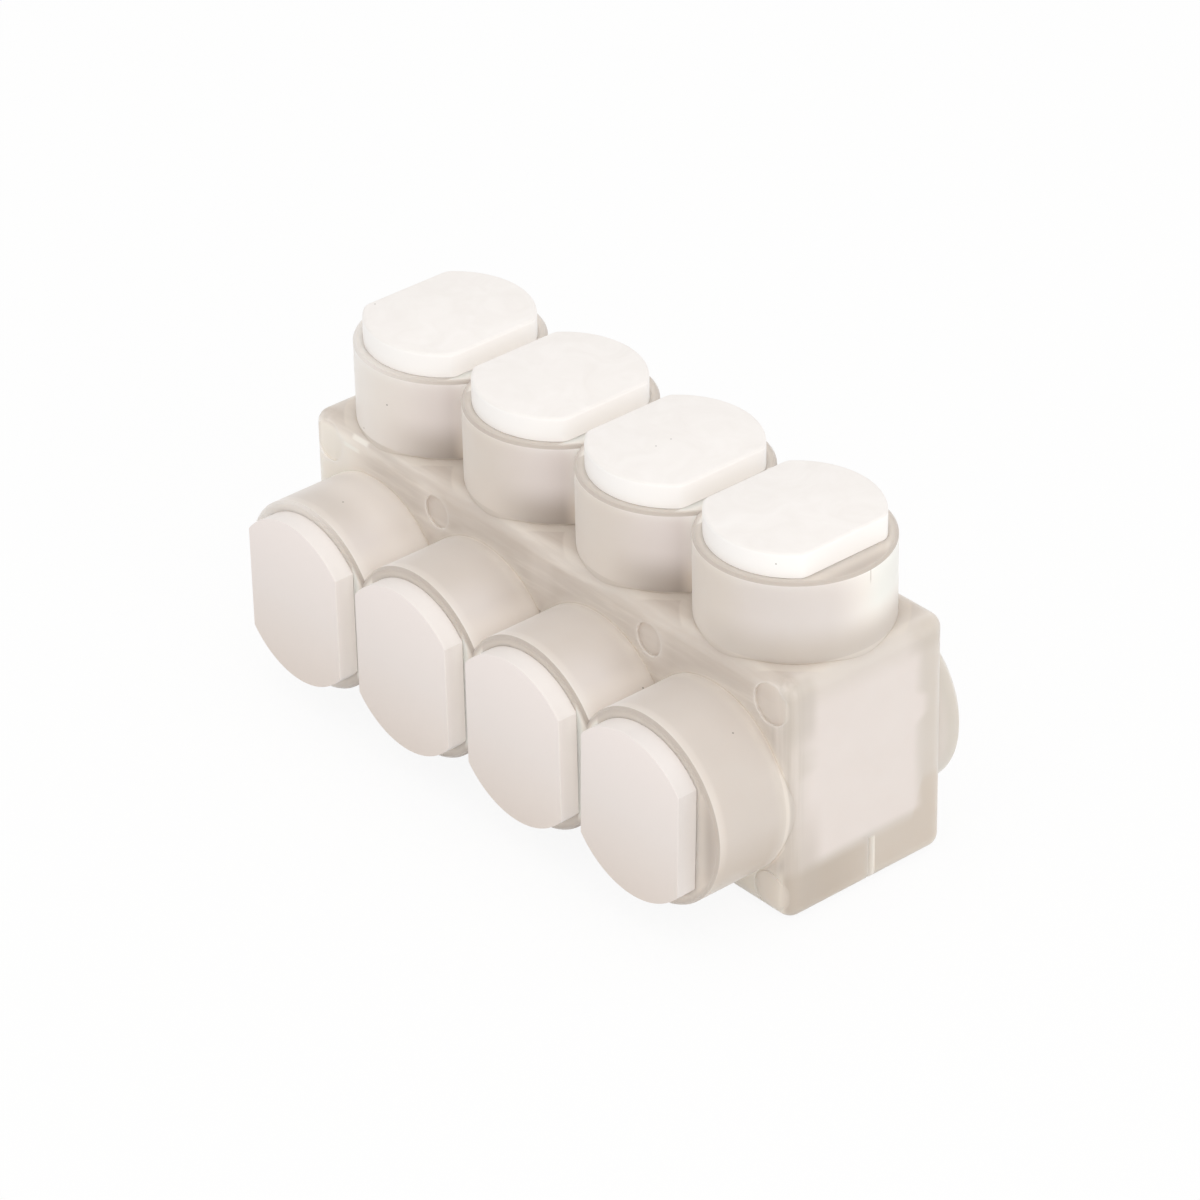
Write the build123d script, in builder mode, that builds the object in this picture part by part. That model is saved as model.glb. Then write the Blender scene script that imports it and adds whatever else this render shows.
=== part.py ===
from build123d import *
import os

# Insulated multi-tap connector, single entry: an aluminium block that joins stripped wires,
# in one moulded cover of soft translucent vinyl, with a plug in every opening.
# Millimetres. X runs along the row of ports, the wires go in at -Y, the screws at +Z.
# The origin is the middle of the cover's flat base.

os.makedirs("parts", exist_ok=True)

# Ports
port_count = 4
port_spacing = 24.0

# Aluminium block: bores for a stripped 250 kcmil conductor, threaded holes over them
wire_bore_radius = 7.6
bore_floor = 2.5
threaded_depth = 8.3
block_depth = 19.4
block_end_wall = 3.9
block_edge_radius = 0.8
bore_mouth_chamfer = 0.7

# Set screws, backed out until the bores are clear
screw_radius = 7.15
screw_length = 14.3
screw_tip_chamfer = 0.9
screw_lift = 0.1
hex_across_flats = 7.94
hex_depth = 6.5
smallest_wire_diameter = 4.7

# Walls of the moulded cover
side_wall = 4.5
end_wall = 2.8
top_wall = 3.7
bottom_wall = 7.6
body_edge_radius = 2.2

# Screw towers on top
tower_wall = 4.75
tower_height = 12.4

# Wire tubes in front, and the closed bosses behind, which take the wire ends
tube_wall = 4.85
tube_length = 12.4
boss_wall = 5.05
boss_height = 3.9
boss_end_wall = 3.2
insulation_room = 1.8
wire_end_room = 1.1
rim_chamfer = 0.35
boss_chamfer = 0.7

# Slit under the cover, through which the block goes in
slit_width = 0.4
slit_offset = 0.4
slit_lip_chamfer = 0.5

# Marks that the mould's pins leave on the front face
corner_mark_radius = 3.1
corner_mark_inset = 3.7
corner_mark_drop = 3.9
middle_mark_radius = 2.5
middle_mark_inset = 1.5
middle_mark_drop = 5.0
sunk_mark_depth = 0.4
ring_mark_width = 0.3
ring_mark_depth = 0.2

# Plugs: a flatted head outside and a hollow skirt in the opening
skirt_wall = 1.5
screw_skirt_length = 8.5
port_skirt_length = 9.0
screw_cap_land = 3.3
port_cap_land = 3.3
screw_cap_flat_land = 0.85
port_cap_flat_land = 0.45
screw_cap_thickness = 3.6
port_cap_thickness = 3.1
cap_corner_radius = 0.8
cap_chamfer = 0.5
screw_cap_turns = (0.0, 0.0, 0.0, 0.0)
port_cap_turns = (0.0, 0.0, 0.0, 2.0)

# Clearances
block_clearance = 0.1
running_clearance = 0.05
seat_clearance = 0.05
skirt_to_screw = 0.3

# Block and cavity
port_x = [(index - (port_count - 1) / 2) * port_spacing for index in range(port_count)]
row_length = (port_count - 1) * port_spacing
block_length = row_length + 2 * (wire_bore_radius + block_end_wall)
block_height = bore_floor + 2 * wire_bore_radius + threaded_depth
block_top = bottom_wall + block_height
bore_axis_z = bottom_wall + bore_floor + wire_bore_radius
cavity_length = block_length + 2 * block_clearance
cavity_depth = block_depth + 2 * block_clearance
cavity_top = block_top + block_clearance

# Cover
body_length = cavity_length + 2 * end_wall
body_depth = cavity_depth + 2 * side_wall
body_height = cavity_top + top_wall
tower_bore_radius = screw_radius + skirt_to_screw + skirt_wall + running_clearance
tower_radius = tower_bore_radius + tower_wall
tower_rim_z = body_height + tower_height
tube_bore_radius = wire_bore_radius + insulation_room
tube_radius = tube_bore_radius + tube_wall
tube_rim_y = -(body_depth / 2 + tube_length)
pocket_radius = wire_bore_radius + wire_end_room
boss_radius = pocket_radius + boss_wall
boss_end_y = body_depth / 2 + boss_height
pocket_depth = boss_end_y - boss_end_wall - cavity_depth / 2

# Screws
screw_tip_z = bore_axis_z + wire_bore_radius + screw_lift
screw_travel = screw_tip_z - (bore_axis_z - wire_bore_radius) - smallest_wire_diameter


def row_at(height):
    """The places of the ports along X, at one height on a sketch."""
    return Locations(*[(x, height) for x in port_x])


# One screw tower, solid, from the floor of the cover to its rim on top
with BuildPart() as screw_tower:
    with BuildSketch(Plane.XY.offset(bottom_wall)):
        Circle(tower_radius)
    extrude(amount=tower_rim_z - bottom_wall)
    chamfer(screw_tower.faces().sort_by(Axis.Z)[-1].edges(), length=rim_chamfer)

# One wire tube, solid, from the middle of the cover to its rim in front
with BuildPart() as wire_tube:
    with BuildSketch(Plane.XZ.offset(-tube_rim_y)):
        with Locations((0, bore_axis_z)):
            Circle(tube_radius)
    extrude(amount=tube_rim_y)
    chamfer(wire_tube.faces().sort_by(Axis.Y)[0].edges(), length=rim_chamfer)

# One closed boss, which stands out behind and takes a wire's end
with BuildPart() as rear_boss:
    with BuildSketch(Plane.XZ):
        with Locations((0, bore_axis_z)):
            Circle(boss_radius)
    extrude(amount=-boss_end_y)
    chamfer(rear_boss.faces().sort_by(Axis.Y)[-1].edges(), length=boss_chamfer)

# Cover, moulded in one piece
with BuildPart() as insulating_cover:
    with BuildSketch(Plane.XY):
        Rectangle(body_length, body_depth)
    extrude(amount=body_height)
    fillet(insulating_cover.edges(), radius=body_edge_radius)

    with GridLocations(port_spacing, port_spacing, port_count, 1):
        add(screw_tower.part)
        add(wire_tube.part)
        add(rear_boss.part)

    # Room for the block
    with BuildSketch(Plane.XY.offset(bottom_wall)):
        Rectangle(cavity_length, cavity_depth)
    extrude(amount=cavity_top - bottom_wall, mode=Mode.SUBTRACT)

    # Openings for the wires, pockets behind them, openings for the screws
    with BuildSketch(Plane.XZ.offset(-tube_rim_y)):
        with row_at(bore_axis_z):
            Circle(tube_bore_radius)
    extrude(amount=-(tube_length + side_wall), mode=Mode.SUBTRACT)
    with BuildSketch(Plane.XZ.offset(-cavity_depth / 2)):
        with row_at(bore_axis_z):
            Circle(pocket_radius)
    extrude(amount=-pocket_depth, mode=Mode.SUBTRACT)
    with BuildSketch(Plane.XY.offset(tower_rim_z)):
        with row_at(0):
            Circle(tower_bore_radius)
    extrude(amount=-(tower_height + top_wall), mode=Mode.SUBTRACT)

    # Slit from end to end, with its rear lip broken
    with BuildSketch(Plane.YZ):
        with Locations((slit_offset, bottom_wall / 2)):
            Rectangle(slit_width, bottom_wall)
    extrude(amount=body_length / 2, both=True, mode=Mode.SUBTRACT)
    rear_lip = insulating_cover.edges(Select.LAST).filter_by(Axis.X).group_by(Axis.Z)[0].sort_by(Axis.Y)[-1]
    chamfer(rear_lip, length=slit_lip_chamfer)

    # Sunk pin marks along the top of the front face, ring marks at its lower corners
    mark_top_z = body_height - corner_mark_drop
    with BuildSketch(Plane.XZ.offset(body_depth / 2)):
        with Locations((-body_length / 2 + corner_mark_inset, mark_top_z),
                       (body_length / 2 - corner_mark_inset, mark_top_z)):
            Circle(corner_mark_radius)
        with Locations((-port_spacing + middle_mark_inset, body_height - middle_mark_drop),
                       (port_spacing - middle_mark_inset, body_height - middle_mark_drop)):
            Circle(middle_mark_radius)
    extrude(amount=-sunk_mark_depth, mode=Mode.SUBTRACT)
    with BuildSketch(Plane.XZ.offset(body_depth / 2)):
        with Locations((-body_length / 2 + corner_mark_inset, corner_mark_drop),
                       (body_length / 2 - corner_mark_inset, corner_mark_drop)):
            Circle(corner_mark_radius)
            Circle(corner_mark_radius - ring_mark_width, mode=Mode.SUBTRACT)
    extrude(amount=-ring_mark_depth, mode=Mode.SUBTRACT)
insulating_cover.part.label = "insulating_cover"
export_step(insulating_cover.part, "parts/insulating_cover.step")

# Block, cut from an extruded bar, bored from the front and threaded from the top
with BuildPart() as conductor_block:
    with BuildSketch(Plane.YZ.offset(-block_length / 2)):
        with Locations((0, bottom_wall + block_height / 2)):
            RectangleRounded(block_depth, block_height, block_edge_radius)
    extrude(amount=block_length)
    with BuildSketch(Plane.XZ.offset(block_depth / 2)):
        with row_at(bore_axis_z):
            Circle(wire_bore_radius)
    extrude(amount=-block_depth, mode=Mode.SUBTRACT)
    front_mouths = conductor_block.faces().sort_by(Axis.Y)[0].edges().filter_by(GeomType.CIRCLE)
    chamfer(front_mouths, length=bore_mouth_chamfer)
    with BuildSketch(Plane.XY.offset(block_top)):
        with row_at(0):
            Circle(screw_radius + running_clearance)
    extrude(amount=-(threaded_depth + wire_bore_radius), mode=Mode.SUBTRACT)
conductor_block.part.label = "conductor_block"
export_step(conductor_block.part, "parts/conductor_block.step")

# Set screws with a hex socket
for number, x in enumerate(port_x, start=1):
    with BuildPart() as set_screw:
        with BuildSketch(Plane((x, 0, screw_tip_z))):
            Circle(screw_radius)
        extrude(amount=screw_length)
        chamfer(set_screw.edges().sort_by(Axis.Z)[0], length=screw_tip_chamfer)
        with BuildSketch(Plane((x, 0, screw_tip_z + screw_length))):
            RegularPolygon(hex_across_flats / 2, 6, major_radius=False)
        extrude(amount=-hex_depth, mode=Mode.SUBTRACT)
    set_screw.part.label = f"set_screw_{number}"
    export_step(set_screw.part, f"parts/set_screw_{number}.step")


def plug(seat, bore_radius, land, flat_land, thickness, skirt_length):
    """A plug whose head lies on the seat plane and whose skirt goes down through it."""
    skirt_radius = bore_radius - running_clearance
    head_radius = bore_radius + land
    half_width = bore_radius + flat_land
    with BuildPart() as body:
        with BuildSketch(seat) as head:
            Circle(head_radius)
            Rectangle(2 * half_width, 2 * head_radius, mode=Mode.INTERSECT)
            fillet(head.vertices(), cap_corner_radius)
        extrude(amount=thickness)
        outer_face = body.faces().sort_by(Axis(seat.origin, seat.z_dir))[-1]
        chamfer(outer_face.edges(), length=cap_chamfer)
        with BuildSketch(seat):
            Circle(skirt_radius)
        extrude(amount=-skirt_length)
        with BuildSketch(seat):
            Circle(skirt_radius - skirt_wall)
        extrude(amount=-skirt_length, mode=Mode.SUBTRACT)
    return body


# Plugs of the screw towers and of the wire tubes
for number, x in enumerate(port_x, start=1):
    turned_x = Vector(1, 0, 0).rotate(Axis.Z, screw_cap_turns[number - 1])
    top_seat = Plane((x, 0, tower_rim_z + seat_clearance), x_dir=turned_x, z_dir=(0, 0, 1))
    screw_cap = plug(top_seat, tower_bore_radius, screw_cap_land, screw_cap_flat_land,
                     screw_cap_thickness, screw_skirt_length)
    screw_cap.part.label = f"screw_cap_{number}"
    export_step(screw_cap.part, f"parts/screw_cap_{number}.step")

for number, x in enumerate(port_x, start=1):
    turned_x = Vector(1, 0, 0).rotate(-Axis.Y, port_cap_turns[number - 1])
    front_seat = Plane((x, tube_rim_y - seat_clearance, bore_axis_z), x_dir=turned_x, z_dir=(0, -1, 0))
    port_cap = plug(front_seat, tube_bore_radius, port_cap_land, port_cap_flat_land,
                    port_cap_thickness, port_skirt_length)
    port_cap.part.label = f"port_cap_{number}"
    export_step(port_cap.part, f"parts/port_cap_{number}.step")

print("set screw travel", round(screw_travel, 2))
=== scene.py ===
import math

import bmesh
import bpy
from mathutils import Matrix, Vector


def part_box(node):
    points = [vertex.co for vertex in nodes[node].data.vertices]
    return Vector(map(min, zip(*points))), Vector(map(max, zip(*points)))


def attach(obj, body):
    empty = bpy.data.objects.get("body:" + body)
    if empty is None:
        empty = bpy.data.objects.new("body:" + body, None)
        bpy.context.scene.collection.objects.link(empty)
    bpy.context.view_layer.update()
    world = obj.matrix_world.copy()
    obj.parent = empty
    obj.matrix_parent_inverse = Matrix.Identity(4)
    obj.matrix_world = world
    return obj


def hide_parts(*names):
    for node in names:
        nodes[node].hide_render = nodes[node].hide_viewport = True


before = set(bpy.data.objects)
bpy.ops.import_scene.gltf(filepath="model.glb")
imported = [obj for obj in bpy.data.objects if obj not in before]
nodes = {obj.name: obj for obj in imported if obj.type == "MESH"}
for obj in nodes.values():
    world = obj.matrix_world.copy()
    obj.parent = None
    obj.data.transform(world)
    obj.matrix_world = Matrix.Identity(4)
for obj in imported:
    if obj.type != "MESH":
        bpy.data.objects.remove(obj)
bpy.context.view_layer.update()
ports = (1, 2, 3, 4)

# Conductor block. A bar of extruded aluminium, cut to length, bored from the front for the stripped wires,
# threaded from the top for the set screws and tin plated all over. It sits in the cover's cavity.
block_lines = (60.0, 2500.0, 2500.0)
block_tone = 0.8


def new_material(name):
    """A material with one Principled shader, and a function that adds nodes to it."""
    material = bpy.data.materials.new(name)
    material.use_nodes = True
    tree = material.node_tree
    shader = next(n for n in tree.nodes if n.type == "BSDF_PRINCIPLED")

    def add(kind, **settings):
        node = tree.nodes.new(kind)
        for key, value in settings.items():
            if key.startswith("in_"):
                socket = node.inputs[int(key[3:])]
                if isinstance(value, bpy.types.NodeSocket):
                    tree.links.new(value, socket)
                else:
                    socket.default_value = value
            else:
                setattr(node, key, value)
        return node

    def join(output, socket):
        tree.links.new(output, shader.inputs[socket])

    return material, shader, add, join


def drawn_noise(add, place, stretch, detail):
    """Noise drawn out by a stretch along each axis."""
    stretched = add("ShaderNodeMapping", in_0=place, in_3=stretch).outputs[0]
    return add("ShaderNodeTexNoise", in_0=stretched, in_2=1.0, in_3=detail, in_4=0.6).outputs["Fac"]


def tin_plate(name, stretch, tone):
    """Tin plated aluminium: fine lines along one direction and soft cloudy patches, duller where dark."""
    material, shader, add, join = new_material(name)
    place = add("ShaderNodeTexCoord").outputs["Object"]
    lines = drawn_noise(add, place, stretch, 4.0)
    clouds = add("ShaderNodeTexNoise", in_0=place, in_2=220.0, in_3=3.0, in_4=0.55).outputs["Fac"]
    mixed = add("ShaderNodeMath", operation="MULTIPLY_ADD", in_0=lines, in_1=0.4, in_2=clouds).outputs[0]
    colour = add("ShaderNodeValToRGB", in_0=mixed)
    colour.color_ramp.elements[0].position = 0.45
    colour.color_ramp.elements[0].color = (tone * 0.86, tone * 0.86, tone * 0.88, 1)
    colour.color_ramp.elements[1].position = 0.95
    colour.color_ramp.elements[1].color = (tone, tone, tone, 1)
    gloss = add("ShaderNodeMapRange", in_0=mixed, in_1=0.4, in_2=1.0, in_3=0.42, in_4=0.28).outputs[0]
    bump = add("ShaderNodeBump", in_0=0.25, in_1=0.00005, in_2=mixed)
    join(colour.outputs[0], "Base Color")
    join(gloss, "Roughness")
    join(bump.outputs[0], "Normal")
    shader.inputs["Metallic"].default_value = 1.0
    return material


nodes["conductor_block"].data.materials.clear()
nodes["conductor_block"].data.materials.append(tin_plate("drawn_tin_plate", block_lines, block_tone))

# Set screws. Each is turned from aluminium bar with a coarse rolled thread, has a broached hex socket, and
# is tin plated. Here they are backed out until the bores under them are clear.
thread_pitch = 0.00141
thread_height = 0.0008
crest_start, crest_end, root_start = 0.4, 0.52, 0.92
spare_turns = 2
first_drop = 1.5
end_chamfer = 0.0009
steps_per_turn = 48
socket_corner_radius = 0.00458
socket_depth = 0.0065
drill_share = 0.86
point_depth = 0.0012
point_share = 0.05
same_place = 1e-7
on_plane = 1e-8
turned_lines = (1500.0, 1500.0, 4000.0)
screw_tone = 0.74
screw_finish = tin_plate("turned_tin_plate", turned_lines, screw_tone)


def as_object(bm, name, finish, sharp_angle=math.radians(32)):
    """Puts a bmesh into the scene as a smooth object whose sharp edges stay sharp."""
    bmesh.ops.recalc_face_normals(bm, faces=bm.faces)
    for edge in bm.edges:
        edge.smooth = edge.is_manifold and edge.calc_face_angle(math.pi) < sharp_angle
    for face in bm.faces:
        face.smooth = True
    mesh = bpy.data.meshes.new(name)
    bm.to_mesh(mesh)
    bm.free()
    mesh.materials.append(finish)
    piece = bpy.data.objects.new(name, mesh)
    bpy.context.scene.collection.objects.link(piece)
    return piece


def edges_at(bm, height):
    """The open edges that lie at one height."""
    return [e for e in bm.edges if e.is_boundary and all(abs(v.co.z - height) < same_place for v in e.verts)]


for number in ports:
    low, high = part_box(f"set_screw_{number}")
    crest = (high.x - low.x) / 2
    root = crest - thread_height
    turns = math.ceil((high.z - low.z) / thread_pitch) + spare_turns
    bm = bmesh.new()

    # One turn's profile, swept up along the thread
    profile = [(root, 0.0), (crest, crest_start), (crest, crest_end), (root, root_start), (root, 1.0)]
    points = [bm.verts.new((r, 0, low.z + (share - first_drop) * thread_pitch)) for r, share in profile]
    strip = [bm.edges.new(pair) for pair in zip(points, points[1:])]
    bmesh.ops.spin(bm, geom=points + strip, cent=(0, 0, 0), axis=(0, 0, 1), angle=2 * math.pi * turns,
                   steps=steps_per_turn * turns, dvec=(0, 0, thread_pitch / steps_per_turn))
    bmesh.ops.remove_doubles(bm, verts=bm.verts, dist=same_place)

    # Cut to length and chamfered at both ends
    for height, side in ((low.z, -1), (high.z, 1)):
        bmesh.ops.bisect_plane(bm, geom=bm.verts[:] + bm.edges[:] + bm.faces[:], dist=on_plane,
                               plane_co=(0, 0, height), plane_no=(0, 0, side), clear_outer=True)
    for vertex in bm.verts:
        reach = min(vertex.co.z - low.z, high.z - vertex.co.z)
        radius = math.hypot(vertex.co.x, vertex.co.y)
        shrink = min(1.0, (crest - end_chamfer + reach) / radius)
        vertex.co.x *= shrink
        vertex.co.y *= shrink

    # Flat tip, and a top face with the hex socket in it
    bmesh.ops.edgeloop_fill(bm, edges=edges_at(bm, low.z))
    rim = edges_at(bm, high.z)
    hexagon = bmesh.ops.create_circle(bm, segments=6, radius=socket_corner_radius,
                                      matrix=Matrix.Translation((0, 0, high.z)))["verts"]
    sides = list({e for v in hexagon for e in v.link_edges})
    bmesh.ops.bridge_loops(bm, edges=rim + sides)
    for drop, shrink in ((socket_depth, 1.0), (0.0, drill_share), (point_depth, point_share)):
        deeper = bmesh.ops.extrude_edge_only(bm, edges=sides)["geom"]
        corners = [g for g in deeper if isinstance(g, bmesh.types.BMVert)]
        sides = [g for g in deeper if isinstance(g, bmesh.types.BMEdge)]
        bmesh.ops.translate(bm, verts=corners, vec=(0, 0, -drop))
        bmesh.ops.scale(bm, verts=corners, vec=(shrink, shrink, 1))
    bmesh.ops.edgeloop_fill(bm, edges=sides)
    centre = (low + high) / 2
    bmesh.ops.translate(bm, verts=bm.verts, vec=(centre.x, centre.y, 0))
    screw = as_object(bm, f"threaded_screw_{number}", screw_finish)
    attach(screw, f"set_screw_{number}")
    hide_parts(f"set_screw_{number}")

# Insulating cover. One piece of soft hazy vinyl with a satin skin, injection moulded round a core. The block
# is pushed in through the slit under it, and the walls grip it. Its colour is painted with light and shade:
# whiter where bright metal or a plug's skirt lies close behind its skin, as painted light, and greyer where
# it is solid.
cover_low, cover_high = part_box("insulating_cover")
port_pitch = 0.024
bore_axis_z = 0.0177
tower_height = 0.0124
tower_radius = 0.01375
tower_rim_z = cover_high.z
tower_foot_z = tower_rim_z - tower_height
tube_length = 0.0124
tube_radius = 0.01425
tube_rim_y = cover_low.y
tube_foot_y = tube_rim_y + tube_length
haze_depth = 0.003


def math_node(add, operation, first, second=0.0, third=0.0):
    """The result of one calculation."""
    return add("ShaderNodeMath", operation=operation, in_0=first, in_1=second, in_2=third).outputs[0]


def skin(add, join, place, clouds, height, softness, edge_radius, roughness):
    """The satin skin of moulded vinyl: orange peel, soft edges and a patchy sheen."""
    peel = add("ShaderNodeTexNoise", in_0=place, in_2=1100.0, in_3=2.0, in_4=0.5).outputs["Fac"]
    swell = add("ShaderNodeTexNoise", in_0=place, in_2=150.0, in_3=2.0, in_4=0.5).outputs["Fac"]
    relief = math_node(add, "MULTIPLY_ADD", swell, softness, peel)
    soft_edge = add("ShaderNodeBevel", samples=6, in_0=edge_radius).outputs[0]
    bump = add("ShaderNodeBump", in_0=0.35, in_1=height, in_2=relief, in_3=soft_edge)
    sheen = add("ShaderNodeMapRange", in_0=clouds, in_1=0.3, in_2=0.7, in_3=roughness - 0.05,
                in_4=roughness + 0.05)
    join(bump.outputs[0], "Normal")
    join(sheen.outputs[0], "Roughness")


def ramp(add, value, stops):
    """A colour ramp over a value, with its stops given as position and colour."""
    node = add("ShaderNodeValToRGB", in_0=value)
    while len(node.color_ramp.elements) < len(stops):
        node.color_ramp.elements.new(1.0)
    for element, (position, colour) in zip(node.color_ramp.elements, stops):
        element.position = position
        element.color = (*colour, 1)
    return node.outputs[0]


def band(add, value, centre, half_width, softness):
    """1 where a value lies within half_width of centre, falling to 0 over softness."""
    away = math_node(add, "ABSOLUTE", math_node(add, "SUBTRACT", value, centre))
    return add("ShaderNodeMapRange", interpolation_type="SMOOTHSTEP", in_0=away, in_1=half_width,
               in_2=half_width + softness, in_3=1.0, in_4=0.0).outputs[0]


def rise(add, value, start, end):
    """0 before start, 1 after end, smooth between them. The end may be the smaller one."""
    low, high = sorted((start, end))
    at_low, at_high = (0.0, 1.0) if start < end else (1.0, 0.0)
    return add("ShaderNodeMapRange", interpolation_type="SMOOTHSTEP", in_0=value, in_1=low, in_2=high,
               in_3=at_low, in_4=at_high).outputs[0]


def all_of(add, *shares):
    """The product of some shares, each from 0 to 1."""
    product = shares[0]
    for share in shares[1:]:
        product = math_node(add, "MULTIPLY", product, share)
    return product


def over(add, share, under, colour):
    """One colour laid over another by a share. Each is a socket or a plain colour."""
    under = (*under, 1) if isinstance(under, tuple) else under
    colour = (*colour, 1) if isinstance(colour, tuple) else colour
    return add("ShaderNodeMix", data_type="RGBA", in_0=share, in_6=under, in_7=colour).outputs[2]


def distance(add, first=0.0, second=0.0, third=0.0):
    """The length of a vector given by its parts."""
    vector = add("ShaderNodeCombineXYZ", in_0=first, in_1=second, in_2=third).outputs[0]
    return add("ShaderNodeVectorMath", operation="LENGTH", in_0=vector).outputs["Value"]


def specks(add, place, colour, spots, radius):
    """Dark specks of burnt vinyl at given places."""
    burnt = (0.18, 0.15, 0.12)
    for spot in spots:
        away = add("ShaderNodeVectorMath", operation="DISTANCE", in_0=place, in_1=spot).outputs["Value"]
        colour = over(add, all_of(add, rise(add, away, radius * 1.5, radius * 0.7), 0.75), colour, burnt)
    return colour


# Places on the cover: how far beside the nearest port, and how far from the middles of tower and tube.
# Further on, a name that ends in fade holds the two places between which a tone comes in.
cover_finish, cover_shader, add, join = new_material("hazy_vinyl")
place = add("ShaderNodeTexCoord").outputs["Object"]
x, y, z = add("ShaderNodeSeparateXYZ", in_0=place).outputs[:]
x_off = math_node(add, "ABSOLUTE", x)
slot_number = math_node(add, "FLOOR", math_node(add, "DIVIDE", x, port_pitch))
slot_number = math_node(add, "MAXIMUM", math_node(add, "MINIMUM", slot_number, 1.0), -2.0)
nearest_port = math_node(add, "MULTIPLY_ADD", slot_number, port_pitch, port_pitch / 2)
from_port = math_node(add, "SUBTRACT", x, nearest_port)
aside = math_node(add, "ABSOLUTE", from_port)
above_axis = math_node(add, "SUBTRACT", z, bore_axis_z)
from_tower = distance(add, from_port, y)
from_tube = distance(add, from_port, 0.0, above_axis)
clouds = add("ShaderNodeTexNoise", in_0=place, in_2=90.0, in_3=3.0, in_4=0.55).outputs["Fac"]

# The body, of solid vinyl: its skin is a little streaked along the row, the lighter streaks being painted
# highlights; its ends are paler with painted light, and the rounded front corner of each end has upright
# streaks of painted highlight and shade
row_stretch = (45.0, 420.0, 420.0)
row_tones = [(0.35, (0.64, 0.57, 0.51)), (0.55, (0.69, 0.625, 0.565)), (0.7, (0.80, 0.735, 0.67))]
upright_stretch = (900.0, 900.0, 30.0)
corner_tones = [(0.35, (0.62, 0.565, 0.51)), (0.65, (0.73, 0.67, 0.62))]
end_tone = (0.72, 0.665, 0.615)
end_fade = (0.0455, 0.0485)
corner_fade = (-0.0125, -0.011)
tint = ramp(add, drawn_noise(add, place, row_stretch, 3.0), row_tones)
corner_edge = ramp(add, drawn_noise(add, place, upright_stretch, 3.0), corner_tones)
end_tint = over(add, rise(add, y, *corner_fade), corner_edge, end_tone)
tint = over(add, rise(add, x_off, *end_fade), tint, end_tint)

# The ledge on top: painted shade along its front, and a ring of painted light round each tower's foot
ledge_fade = (0.0366, 0.0373)
ledge_front_fade = (-0.0105, -0.0125)
ledge_front_tone = (0.56, 0.49, 0.43)
ring_radius, ring_half_width, ring_softness = 0.0146, 0.0007, 0.0004
ring_tone = (0.80, 0.735, 0.66)
on_ledge = rise(add, z, *ledge_fade)
ledge_front = all_of(add, on_ledge, rise(add, y, *ledge_front_fade), 0.4)
tint = over(add, ledge_front, tint, ledge_front_tone)
tower_ring = band(add, from_tower, ring_radius, ring_half_width, ring_softness)
tint = over(add, all_of(add, on_ledge, tower_ring, 0.5), tint, ring_tone)

# The front: painted light close to the tubes, low down, and at the left-hand end
front_fade = (-0.0134, -0.0142)
tube_ring_fade = (0.0158, 0.0144)
tube_ring_tone = (0.84, 0.78, 0.71)
low_front_fade = (0.009, 0.0055)
low_front_tone = (0.91, 0.85, 0.77)
left_fade, left_front_fade, left_top_fade = (-0.034, -0.043), (-0.009, -0.012), (0.0370, 0.0355)
left_tone = (0.97, 0.90, 0.83)
on_front = rise(add, y, *front_fade)
tint = over(add, all_of(add, on_front, rise(add, from_tube, *tube_ring_fade), 0.5), tint, tube_ring_tone)
tint = over(add, all_of(add, rise(add, z, *low_front_fade), on_front), tint, low_front_tone)
left_face = all_of(add, rise(add, x, *left_fade), rise(add, y, *left_front_fade))
left_face = all_of(add, left_face, rise(add, z, *left_top_fade))
tint = over(add, all_of(add, left_face, 0.9), tint, left_tone)

# Two painted highlights, short light streaks on the round edge over the first tube
edge_glints = ((-0.0414, 0.0347), (-0.0397, 0.0364))
glint_half_length, glint_end_softness = 0.0013, 0.0008
glint_half_width, glint_softness = 0.0002, 0.00025
glint_front_fade = (-0.0120, -0.0126)
glint_tone = (1.0, 0.95, 0.88)
for glint_x, glint_z in edge_glints:
    along = band(add, x, glint_x, glint_half_length, glint_end_softness)
    across = band(add, z, glint_z, glint_half_width, glint_softness)
    glint = all_of(add, along, across, rise(add, y, *glint_front_fade), 0.7)
    tint = over(add, glint, tint, glint_tone)

# The end faces, painted light and shade: the block's bright end close behind shows as painted light, with a
# dull strip beside it and a greyer foot under it in painted shade
end_face_fade = (0.0486, 0.0497)
strip_y, strip_half_width, strip_softness = 0.0115, 0.0006, 0.0014
strip_tone = (0.70, 0.645, 0.59)
foot_across_fade = (-0.008, 0.004)
foot_front_tone, foot_back_tone = (0.585, 0.515, 0.445), (0.67, 0.60, 0.53)
foot_step_fade, foot_step = (0.008, 0.0105), -0.0055
foot_top_fade = (0.0085, 0.0065)
on_end = rise(add, x_off, *end_face_fade)
end_strip = band(add, y, strip_y, strip_half_width, strip_softness)
tint = over(add, all_of(add, on_end, end_strip), tint, strip_tone)
end_foot_tone = over(add, rise(add, y, *foot_across_fade), foot_front_tone, foot_back_tone)
foot_top = math_node(add, "MULTIPLY_ADD", rise(add, y, *foot_step_fade), foot_step, z)
tint = over(add, all_of(add, on_end, rise(add, foot_top, *foot_top_fade)), tint, end_foot_tone)

# Painted light where the block's end shows through, with a ragged edge and a bulge
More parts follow.
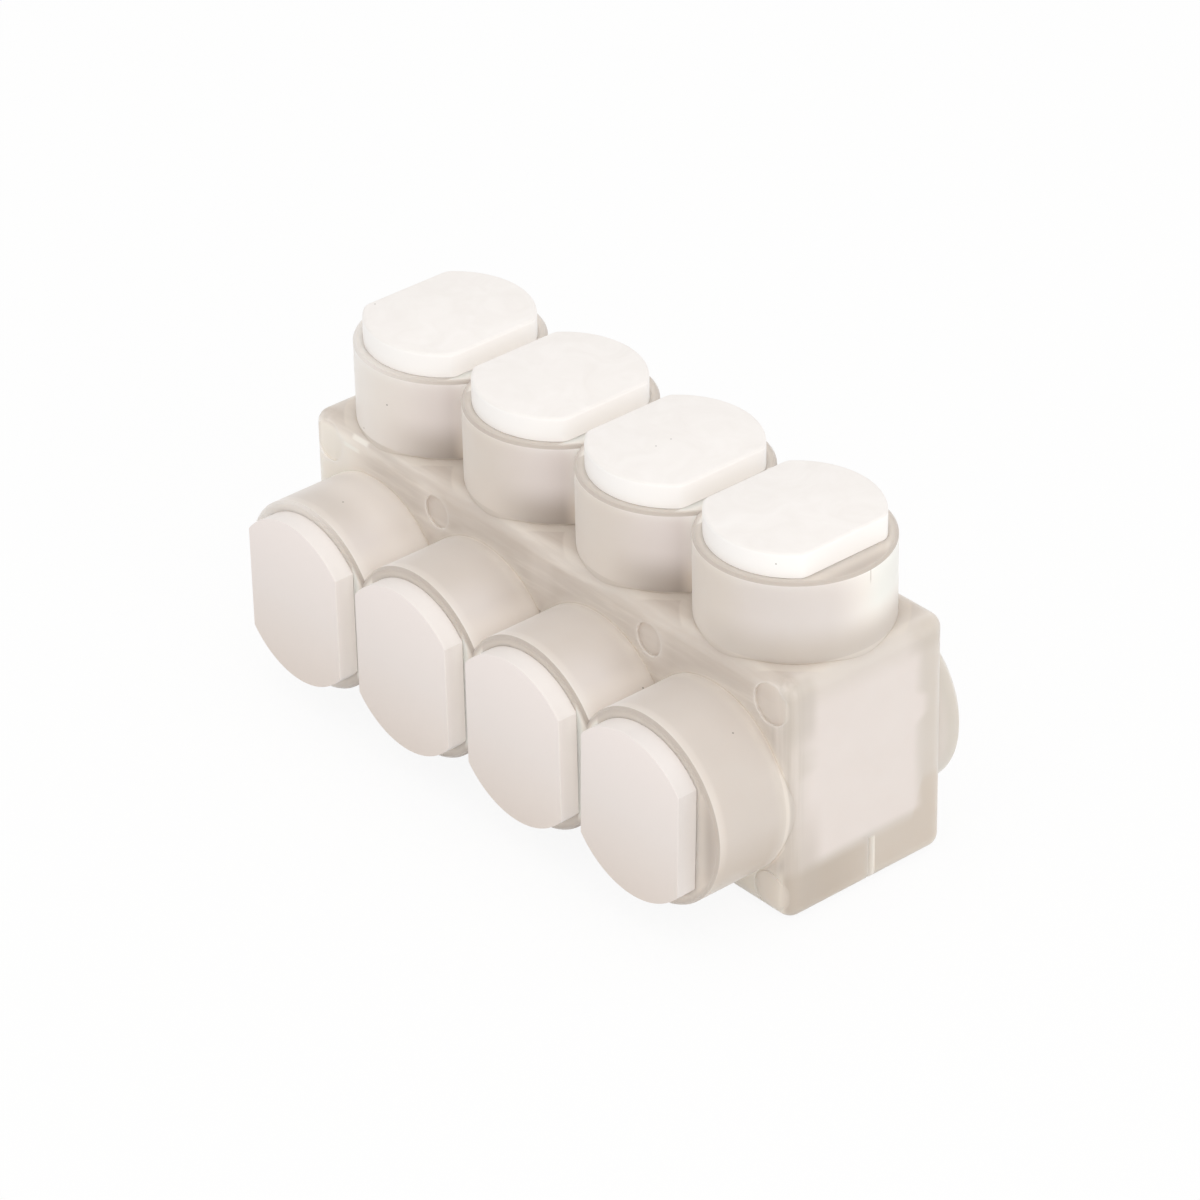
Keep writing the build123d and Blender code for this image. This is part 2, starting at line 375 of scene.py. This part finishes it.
ragged_by = 0.002
bulge_z, bulge_half_height, bulge_softness, bulge_by = 0.0247, 0.001, 0.002, -0.0014
block_front_fade, block_back_fade = (-0.0125, -0.0085), (0.0112, 0.0092)
block_foot_fade, block_top_fade = (0.0077, 0.0092), (0.0368, 0.0315)
block_end_tone = (0.82, 0.755, 0.72)
ragged = math_node(add, "MULTIPLY_ADD", clouds, ragged_by, y)
bulge = band(add, z, bulge_z, bulge_half_height, bulge_softness)
ragged = math_node(add, "MULTIPLY_ADD", bulge, bulge_by, ragged)
across_block = all_of(add, rise(add, ragged, *block_front_fade), rise(add, ragged, *block_back_fade))
up_block = all_of(add, rise(add, z, *block_foot_fade), rise(add, z, *block_top_fade))
tint = over(add, all_of(add, on_end, all_of(add, across_block, up_block)), tint, block_end_tone)

# Painted shade in the corners round the block's end: low in front, high in front and high at the back
end_corners = (((-0.0075, -0.0105), (0.020, 0.009), 0.5, (0.58, 0.52, 0.46)),
               ((-0.0085, -0.0105), (0.026, 0.031), 0.5, (0.58, 0.53, 0.475)),
               ((0.0065, 0.0095), (0.0325, 0.0345), 0.4, (0.60, 0.545, 0.485)))
for y_fade, z_fade, strength, corner_tone in end_corners:
    corner = all_of(add, rise(add, y, *y_fade), rise(add, z, *z_fade))
    tint = over(add, all_of(add, all_of(add, on_end, corner), strength), tint, corner_tone)

# The slit, where light comes through from the cavity
slit_y, slit_half_width, slit_softness = 0.001, 0.0003, 0.0002
slit_top_fade = (0.0078, 0.0072)
slit_tone = (0.90, 0.82, 0.74)
in_slit = all_of(add, band(add, y, slit_y, slit_half_width, slit_softness), rise(add, z, *slit_top_fade))
tint = over(add, in_slit, tint, slit_tone)

# Towers, painted light and shade: the plug's skirt shows white behind the wall as painted light, with a grey
# foot of painted shade under it. The side towards the next tower has painted shade low down and painted
# light at its corner, the left-hand edge has a painted highlight, and the last tower, with no neighbour to
# shade it, gets painted light.
skirt_fade = (tower_foot_z + 0.0012, tower_foot_z + 0.0068)
shaded_fade = (0.0, 0.0105)
corner_side_fade, corner_front_fade, corner_back_fade = (0.0, 0.004), (-0.0090, -0.0069), (0.0135, 0.006)
outline_fade = (-0.0102, -0.0128)
first_foot_tone, foot_tone = (0.72, 0.65, 0.59), (0.77, 0.70, 0.635)
shaded_foot_tone, corner_foot_tone = (0.50, 0.44, 0.395), (0.95, 0.86, 0.77)
last_foot_tone = (0.66, 0.60, 0.545)
wall_tone, shaded_wall_tone, corner_wall_tone = (0.765, 0.70, 0.64), (0.80, 0.74, 0.715), (0.97, 0.92, 0.885)
outline_tone, last_wall_tone, last_end_tone = (0.93, 0.875, 0.82), (0.77, 0.72, 0.69), (0.98, 0.93, 0.88)
first_tower_fade, inner_towers_fade, last_foot_fade = (-0.031, -0.024), (0.030, 0.024), (0.030, 0.040)
last_wall_fade, last_end_fade, last_end_back_fade = (0.036, 0.046), (0.040, 0.046), (-0.006, 0.003)
tower_start_fade = (tower_foot_z + 0.0001, tower_foot_z + 0.0003)
shaded_side = rise(add, from_port, *shaded_fade)
corner_side = all_of(add, rise(add, from_port, *corner_side_fade), rise(add, y, *corner_front_fade))
corner_side = all_of(add, corner_side, rise(add, y, *corner_back_fade))
foot = over(add, rise(add, x, *first_tower_fade), first_foot_tone, foot_tone)
foot = over(add, shaded_side, foot, shaded_foot_tone)
foot = over(add, all_of(add, corner_side, rise(add, x, *inner_towers_fade)), foot, corner_foot_tone)
foot = over(add, rise(add, x, *last_foot_fade), foot, last_foot_tone)
wall = over(add, shaded_side, wall_tone, shaded_wall_tone)
wall = over(add, all_of(add, corner_side, 0.95), wall, corner_wall_tone)
wall = over(add, all_of(add, rise(add, from_port, *outline_fade), 0.6), wall, outline_tone)
wall = over(add, rise(add, x, *last_wall_fade), wall, last_wall_tone)
last_tower_end = all_of(add, rise(add, x, *last_end_fade), rise(add, y, *last_end_back_fade))
wall = over(add, last_tower_end, wall, last_end_tone)
tower_tint = over(add, rise(add, z, *skirt_fade), foot, wall)
tint = over(add, rise(add, z, *tower_start_fade), tint, tower_tint)

# Painted light: the left-hand tower is paler all over
pale_tone = (1.0, 0.95, 0.91)
far_end_fade = (-0.022, -0.042)
pale_tower_fade = (tower_foot_z, tower_foot_z + 0.0003)
far_end = rise(add, x, *far_end_fade)
pale_tower = all_of(add, far_end, rise(add, z, *pale_tower_fade), 0.65)
tint = over(add, pale_tower, tint, pale_tone)

# Tubes: painted light down their sides near the rim, and painted shade low down on the last one
tube_tone, side_tone, low_tone = (0.70, 0.64, 0.59), (0.80, 0.75, 0.72), (0.60, 0.525, 0.455)
side_fade = (0.002, 0.010)
toward_rim_fade = (tube_foot_y - 0.002, tube_rim_y + 0.004)
last_tube_fade = (0.043, 0.037)
low_side_fade, low_fade = (0.042, 0.046), (0.002, -0.007)
tube_start_fade = (tube_foot_y - 0.0001, tube_foot_y - 0.0025)
down_sides = all_of(add, rise(add, aside, *side_fade), rise(add, y, *toward_rim_fade))
tube_tint = over(add, all_of(add, down_sides, rise(add, x, *last_tube_fade)), tube_tone, side_tone)
low_on_last = all_of(add, rise(add, x, *low_side_fade), rise(add, above_axis, *low_fade))
tube_tint = over(add, low_on_last, tube_tint, low_tone)
tint = over(add, rise(add, y, *tube_start_fade), tint, tube_tint)

# Light gathers between the tubes, on the first one, behind the rims and in the corners at their feet
between_fade, between_ends_fade = (0.0085, 0.0112), (0.034, 0.028)
between_front_fade = (tube_foot_y + 0.0003, tube_foot_y - 0.0005)
between_tone = (0.96, 0.90, 0.84)
between = all_of(add, rise(add, aside, *between_fade), rise(add, x_off, *between_ends_fade))
between = all_of(add, between, rise(add, y, *between_front_fade), 0.5)
tint = over(add, between, tint, between_tone)
first_tube_x, first_tube_half_width, first_tube_softness = -0.031, 0.005, 0.010
pale_start_fade, pale_end_fade = (tube_foot_y, tube_foot_y - 0.0004), (-0.0235, -0.0185)
pale_tube = all_of(add, rise(add, y, *pale_start_fade), rise(add, y, *pale_end_fade))
first_tube = band(add, x, first_tube_x, first_tube_half_width, first_tube_softness)
tint = over(add, all_of(add, pale_tube, first_tube, 0.35), tint, pale_tone)
behind_rim_y, behind_rim_half_width, behind_rim_softness = tube_rim_y + 0.0009, 0.0003, 0.0007
upper_half_fade = (-0.006, 0.002)
behind_rim_tone = (0.92, 0.86, 0.81)
behind_rim = band(add, y, behind_rim_y, behind_rim_half_width, behind_rim_softness)
behind_rim = all_of(add, behind_rim, rise(add, above_axis, *upper_half_fade), 0.2)
tint = over(add, behind_rim, tint, behind_rim_tone)
foot_line_half_width, foot_line_softness = 0.0002, 0.0002
foot_line_tone = (1.0, 0.94, 0.87)
foot_line = all_of(add, band(add, from_tube, tube_radius, foot_line_half_width, foot_line_softness),
                   band(add, y, tube_foot_y, foot_line_half_width, foot_line_softness), 0.3)
tint = over(add, foot_line, tint, foot_line_tone)

# Rims of towers and tubes, painted light and shade: greyer where solid, painted shade on their chamfers, and
# painted light close round the heads, between two plugs' flats and at the left-hand end
rim_inner_tone, rim_outer_tone, chamfer_tone = (0.76, 0.695, 0.63), (0.55, 0.49, 0.44), (0.42, 0.37, 0.33)
between_flats_tone = (1.0, 0.94, 0.87)
chamfer_fade = (-0.0005, -0.0003)
rim_fade = (0.0003, 0.0012)
flat_fade, flat_ends_fade = (-0.0003, 0.0001), (0.034, 0.030)
flat_weight = 0.4
rim_start, rim_full = 0.00042, 0.00036
on_tower_rim = rise(add, z, tower_rim_z - rim_start, tower_rim_z - rim_full)
on_tube_rim = rise(add, y, tube_rim_y + rim_start, tube_rim_y + rim_full)
for plug_name, reach, rim_radius, chamfer_shade, on_rim in (
        ("screw_cap_2", from_tower, tower_radius, 0.15, on_tower_rim),
        ("port_cap_2", from_tube, tube_radius, 0.35, on_tube_rim)):
    low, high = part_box(plug_name)
    half_width = (high.x - low.x) / 2
    head_radius = (high.y - low.y) / 2 if reach is from_tower else (high.z - low.z) / 2
    beyond_flat = math_node(add, "SUBTRACT", aside, half_width)
    beyond_round = math_node(add, "SUBTRACT", reach, head_radius)
    from_head = math_node(add, "MAXIMUM", math_node(add, "MULTIPLY", beyond_flat, flat_weight), beyond_round)
    between_flats = all_of(add, rise(add, beyond_flat, *flat_fade), rise(add, x_off, *flat_ends_fade))
    inner_tone = over(add, between_flats, rim_inner_tone, between_flats_tone)
    rim_tone = over(add, rise(add, from_head, *rim_fade), inner_tone, rim_outer_tone)
    on_chamfer = rise(add, reach, rim_radius + chamfer_fade[0], rim_radius + chamfer_fade[1])
    rim_tone = over(add, all_of(add, on_chamfer, chamfer_shade), rim_tone, chamfer_tone)
    rim_tone = over(add, all_of(add, far_end, 0.5), rim_tone, pale_tone)
    tint = over(add, on_rim, tint, rim_tone)

# Closed bosses behind
boss_fade = (0.0145, 0.016)
boss_tone = (0.68, 0.635, 0.58)
tint = over(add, rise(add, y, *boss_fade), tint, boss_tone)

# Faint rings of painted highlight round the sunk marks of the mould's pins, on the front, with painted shade
# on their floors except at the left-hand end
pin_marks = ((0.0467, 0.0335, 0.0031), (0.0225, 0.0324, 0.0025), (0.0467, 0.0039, 0.0031))
pin_line_half_width, pin_line_softness = 0.00004, 0.0002
pin_ring_tone, pin_floor_tone = (0.90, 0.85, 0.80), (0.80, 0.73, 0.665)
pin_ring_fade, pin_floor_fade, pin_edge = (-0.0135, -0.0138), (-0.0125, -0.0128), 0.0003
left_pin_fade = (-0.040, -0.038)
for pin_x, pin_z, pin_radius in pin_marks:
    across = math_node(add, "SUBTRACT", x_off, pin_x)
    above = math_node(add, "SUBTRACT", z, pin_z)
    reach = distance(add, across, 0.0, above)
    pin_ring = band(add, reach, pin_radius, pin_line_half_width, pin_line_softness)
    pin_ring = all_of(add, pin_ring, rise(add, y, *pin_ring_fade))
    pin_floor = rise(add, reach, pin_radius, pin_radius - pin_edge)
    pin_floor = all_of(add, pin_floor, rise(add, y, *pin_floor_fade), rise(add, x, *left_pin_fade))
    tint = over(add, all_of(add, pin_floor, 0.5), tint, pin_floor_tone)
    tint = over(add, all_of(add, pin_ring, 0.2), tint, pin_ring_tone)

# The mould's seam, a short dark line at the top of each tower's outer wall
seam_y, seam_half_width, seam_softness = 0.0009, 0.00003, 0.0001
seam_foot_fade = (tower_rim_z - 0.0028, tower_rim_z - 0.0016)
seam_top_fade = (tower_rim_z - 0.0002, tower_rim_z - 0.0004)
outer_wall_fade = (0.0125, 0.013)
seam_tone = (0.45, 0.38, 0.32)
seam = all_of(add, band(add, y, seam_y, seam_half_width, seam_softness), rise(add, z, *seam_foot_fade))
seam = all_of(add, seam, all_of(add, rise(add, z, *seam_top_fade), rise(add, from_tower, *outer_wall_fade)))
tint = over(add, all_of(add, seam, 0.6), tint, seam_tone)

# Specks of burnt vinyl, a patchy haze, the sheen and the skin
cover_specks = ((-0.03371, -0.01355, 0.04458), (-0.03965, -0.01325, 0.0382), (-0.03424, -0.02167, 0.03183),
                (-0.00035, -0.0143, 0.02635), (0.02355, -0.01634, 0.02603), (0.04392, -0.0183, 0.02954))
cover_speck_radius = 0.00011
haze_tones = [(0.3, (0.97, 0.965, 0.96)), (0.7, (1.0, 1.0, 1.0))]
tint = specks(add, place, tint, cover_specks, cover_speck_radius)
haze = ramp(add, clouds, haze_tones)
hazed = add("ShaderNodeMix", data_type="RGBA", blend_type="MULTIPLY", in_0=1.0, in_6=tint, in_7=haze)
join(hazed.outputs[2], "Base Color")
skin(add, join, place, clouds, height=0.00006, softness=3.0, edge_radius=0.0004, roughness=0.42)
cover_shader.inputs["Sheen Weight"].default_value = 0.35
cover_shader.inputs["Sheen Roughness"].default_value = 0.35
cover_shader.inputs["IOR"].default_value = 1.5
cover_shader.inputs["Subsurface Weight"].default_value = 1.0
cover_shader.inputs["Subsurface Radius"].default_value = (1.0, 1.0, 1.0)
cover_shader.inputs["Subsurface Scale"].default_value = haze_depth
nodes["insulating_cover"].data.materials.clear()
nodes["insulating_cover"].data.materials.append(cover_finish)

# Plugs. Hollow stoppers of the same vinyl, filled whiter, each with a flatted head to pull and a skirt that
# grips the tower or tube. They are moulded apart, with soft edges, and pushed in by hand.
plug_finish, plug_shader, add, join = new_material("milky_vinyl")
place = add("ShaderNodeTexCoord").outputs["Object"]
facing = add("ShaderNodeTexCoord").outputs["Normal"]
x, y, z = add("ShaderNodeSeparateXYZ", in_0=place).outputs[:]
facing_side, facing_front, facing_up = add("ShaderNodeSeparateXYZ", in_0=facing).outputs[:]
clouds = add("ShaderNodeTexNoise", in_0=place, in_2=160.0, in_3=4.0, in_4=0.6, in_8=1.5).outputs["Fac"]
cloudy = ramp(add, clouds, [(0.3, (0.915, 0.875, 0.845)), (0.7, (0.955, 0.92, 0.895))])

# Tube plugs, painted light and shade: their faces are a little yellower and darker low down, their round
# sides have a tone of their own, the flats between two plugs are lighter, and the last one's open flat is
# duller
head_fade = (-0.022, -0.0265)
face_foot_z, face_top_z = 0.006, 0.0295
face_tones = [(0.0, (0.75, 0.66, 0.60)), (0.5, (0.82, 0.75, 0.715)), (1.0, (0.90, 0.82, 0.79))]
round_side_fade, last_plug_fade = (-0.75, -0.3), (0.036, 0.034)
last_side_tone, side_tone = (0.84, 0.79, 0.765), (0.875, 0.825, 0.795)
flat_facing_fade, flat_front_fade, inner_plugs_fade = (0.5, 0.9), (-0.0292, -0.0276), (0.034, 0.030)
flat_tone, open_flat_tone = (0.94, 0.90, 0.87), (0.76, 0.71, 0.68)
open_flat_fade = (0.036, 0.040)
in_front = rise(add, y, *head_fade)
height = add("ShaderNodeMapRange", in_0=z, in_1=face_foot_z, in_2=face_top_z).outputs[0]
tint = over(add, all_of(add, in_front, 0.9), cloudy, ramp(add, height, face_tones))
plug_side_tone = over(add, rise(add, x, *last_plug_fade), last_side_tone, side_tone)
tint = over(add, all_of(add, in_front, rise(add, facing_front, *round_side_fade)), tint, plug_side_tone)
on_flat = rise(add, math_node(add, "ABSOLUTE", facing_side), *flat_facing_fade)
inner_flats = all_of(add, in_front, all_of(add, on_flat, rise(add, y, *flat_front_fade)))
inner_flats = all_of(add, inner_flats, rise(add, x, *inner_plugs_fade))
tint = over(add, inner_flats, tint, flat_tone)
open_flat = all_of(add, in_front, rise(add, facing_side, *flat_facing_fade), rise(add, x, *open_flat_fade))
tint = over(add, open_flat, tint, open_flat_tone)

# Tower plugs: their sides are a little whiter than their tops, as painted light
above_rim_fade, upright_side_fade = (0.0494, 0.0497), (0.75, 0.3)
screw_side_tone = (1.0, 0.975, 0.955)
screw_sides = all_of(add, rise(add, z, *above_rim_fade), rise(add, facing_up, *upright_side_fade))
tint = over(add, screw_sides, tint, screw_side_tone)
plug_specks = ((0.04321, -0.00996, 0.05186), (0.01171, -0.00049, 0.05345), (0.01175, -0.00321, 0.05345),
               (-0.04484, -0.00632, 0.05345))
plug_speck_radius = 0.00009
join(specks(add, place, tint, plug_specks, plug_speck_radius), "Base Color")
skin(add, join, place, clouds, height=0.00005, softness=4.0, edge_radius=0.0004, roughness=0.45)
plug_shader.inputs["IOR"].default_value = 1.5
flat_half_width = 0.00985
screw_head, screw_skirt_radius = 0.0036, 0.00895
port_head, port_skirt_radius = 0.0031, 0.00935
port_turns = {1: 0.0, 2: 0.0, 3: 0.0, 4: math.radians(2)}
corner_round = 0.0008
edge_round = 0.0012
round_steps = 4
seat_gap = 0.00005
skirt_wall = 0.0015
outline_steps = 128
skirt_steps = 96
quarter_turn = Matrix.Rotation(math.radians(90), 4, "X")


def plug(node, thickness, skirt_radius, turn):
    """A plug in place of a CAD plug: the flatted head with soft edges, and the hollow skirt under it."""
    low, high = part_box(node)
    middle = (low + high) / 2
    upright = high.z - low.z < high.x - low.x and low.z > tower_foot_z
    head_radius = (high.y - low.y) / 2 if upright else (high.z - low.z) / 2
    length = high.z - low.z if upright else high.y - low.y

    # Head: a disc with two flats, its corners and its outer edge rounded
    bm = bmesh.new()
    bmesh.ops.create_circle(bm, cap_ends=True, segments=outline_steps, radius=head_radius)
    for side in (-flat_half_width, flat_half_width):
        bmesh.ops.bisect_plane(bm, geom=bm.verts[:] + bm.edges[:] + bm.faces[:], dist=on_plane,
                               plane_co=(side, 0, 0), plane_no=(side, 0, 0), clear_outer=True)
    corners = [v for v in bm.verts if abs(abs(v.co.x) - flat_half_width) < same_place]
    bmesh.ops.bevel(bm, geom=corners, offset=corner_round, offset_type="OFFSET", segments=round_steps,
                    profile=0.5, affect="VERTICES", material=-1)
    disc = bm.faces[:]
    raised = bmesh.ops.extrude_face_region(bm, geom=disc)["geom"]
    top = [g for g in raised if isinstance(g, bmesh.types.BMVert)]
    bmesh.ops.translate(bm, verts=top, vec=(0, 0, thickness))
    bmesh.ops.delete(bm, geom=[f for f in bm.faces if all(abs(v.co.z) < on_plane for v in f.verts)],
                     context="FACES_ONLY")
    bmesh.ops.translate(bm, verts=[v for v in bm.verts if abs(v.co.z) < on_plane], vec=(0, 0, -seat_gap))
    top_edges = [e for e in bm.edges if all(abs(v.co.z - thickness) < on_plane for v in e.verts)]
    bmesh.ops.bevel(bm, geom=top_edges, offset=edge_round, offset_type="OFFSET", segments=round_steps,
                    profile=0.5, affect="EDGES", material=-1, clamp_overlap=True)

    # Skirt: down the outside, over its end, up the inside, and closed under the head
    rim = edges_at(bm, -seat_gap)
    circle = bmesh.ops.create_circle(bm, segments=skirt_steps, radius=skirt_radius,
                                     matrix=Matrix.Translation((0, 0, -seat_gap)))["verts"]
    sides = list({e for v in circle for e in v.link_edges})
    bmesh.ops.bridge_loops(bm, edges=rim + sides)
    inside = (skirt_radius - skirt_wall) / skirt_radius
    drop = thickness + seat_gap - length
    for move, shrink in ((drop, 1.0), (0.0, inside), (-drop, 1.0)):
        deeper = bmesh.ops.extrude_edge_only(bm, edges=sides)["geom"]
        moved = [g for g in deeper if isinstance(g, bmesh.types.BMVert)]
        sides = [g for g in deeper if isinstance(g, bmesh.types.BMEdge)]
        bmesh.ops.translate(bm, verts=moved, vec=(0, 0, move))
        bmesh.ops.scale(bm, verts=moved, vec=(shrink, shrink, 1))
    bmesh.ops.edgeloop_fill(bm, edges=sides)

    # Turned to face out of its opening, and set on the rim
    facing = Matrix.Rotation(turn, 4, "Z") if upright else Matrix.Rotation(turn, 4, "Y") @ quarter_turn
    seat = (middle.x, middle.y, high.z - thickness) if upright else (middle.x, low.y + thickness, middle.z)
    bmesh.ops.transform(bm, matrix=Matrix.Translation(seat) @ facing, verts=bm.verts)
    piece = as_object(bm, f"soft_{node}", plug_finish)
    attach(piece, node)
    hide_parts(node)


for number in ports:
    plug(f"screw_cap_{number}", screw_head, screw_skirt_radius, 0.0)
    plug(f"port_cap_{number}", port_head, port_skirt_radius, port_turns[number])

# Studio. A pale floor that reads white to the camera but keeps the shadow, an even sky, a broad soft lamp
# above and one at the right-hand end.
floor_size = 6.0
floor_white = 0.9
sky_strength = 0.80
bm = bmesh.new()
bmesh.ops.create_grid(bm, x_segments=1, y_segments=1, size=floor_size / 2)
floor_finish, floor_shader, add, join = new_material("pale_floor")
floor_shader.inputs["Base Color"].default_value = (0.94, 0.94, 0.935, 1)
floor_shader.inputs["Roughness"].default_value = 0.9
floor_shader.inputs["Specular IOR Level"].default_value = 0.1
rays = add("ShaderNodeLightPath").outputs
seen = math_node(add, "MAXIMUM", rays["Is Camera Ray"], rays["Is Glossy Ray"])
seen = math_node(add, "MAXIMUM", seen, rays["Is Transmission Ray"])
share = math_node(add, "MULTIPLY", seen, floor_white)
white = add("ShaderNodeEmission", in_0=(1, 1, 1, 1), in_1=1.0).outputs[0]
blend = add("ShaderNodeMixShader", in_0=share, in_1=floor_shader.outputs[0], in_2=white).outputs[0]
output = next(n for n in floor_finish.node_tree.nodes if n.type == "OUTPUT_MATERIAL")
floor_finish.node_tree.links.new(blend, output.inputs["Surface"])
as_object(bm, "studio_floor", floor_finish)

world = bpy.data.worlds.new("even_sky")
bpy.context.scene.world = world
world.use_nodes = True
sky = next(n for n in world.node_tree.nodes if n.type == "BACKGROUND")
sky.inputs["Color"].default_value = (1.0, 0.995, 0.985, 1)
sky.inputs["Strength"].default_value = sky_strength


def soft_lamp(name, place, size, power, colour):
    """A square area lamp that faces the object's middle."""
    light = bpy.data.lights.new(name, "AREA")
    light.shape = "SQUARE"
    light.size = size
    light.energy = power
    light.color = colour
    lamp = bpy.data.objects.new(name, light)
    lamp.location = place
    lamp.rotation_euler = (Vector((0, 0, 0.02)) - Vector(place)).to_track_quat("-Z", "Y").to_euler()
    bpy.context.scene.collection.objects.link(lamp)


soft_lamp("overhead_lamp", place=(0.1, -0.1, 1.2), size=1.2, power=2.8, colour=(1.0, 0.99, 0.975))
soft_lamp("side_lamp", place=(1.1, -0.3, 0.45), size=0.9, power=3.0, colour=(1.0, 0.985, 0.965))
bpy.context.scene.view_settings.view_transform = "Standard"

# Camera: a long lens, high in front of the right-hand end, rolled by a hair.
azimuth = math.radians(50.0)
elevation = math.radians(31.87)
roll = math.radians(-1.27)
camera_distance = 0.7802
focal_length = 167.27
sensor_width = 36.0
target = Vector((-0.00451, 0.0, 0.02022))
right = Vector((math.cos(azimuth), math.sin(azimuth), 0))
level_back = Vector((math.sin(azimuth), -math.cos(azimuth), 0))
back = math.cos(elevation) * level_back + math.sin(elevation) * Vector((0, 0, 1))
up = back.cross(right)
rolled_right = math.cos(roll) * right + math.sin(roll) * up
rolled_up = math.cos(roll) * up - math.sin(roll) * right
turn = Matrix((rolled_right, rolled_up, back)).transposed().to_4x4()
camera = bpy.data.objects.new("photo_camera", bpy.data.cameras.new("photo_camera"))
camera.data.lens = focal_length
camera.data.sensor_width = sensor_width
camera.matrix_world = Matrix.Translation(target + camera_distance * back) @ turn
bpy.context.scene.collection.objects.link(camera)
bpy.context.scene.camera = camera

bpy.context.view_layer.update()
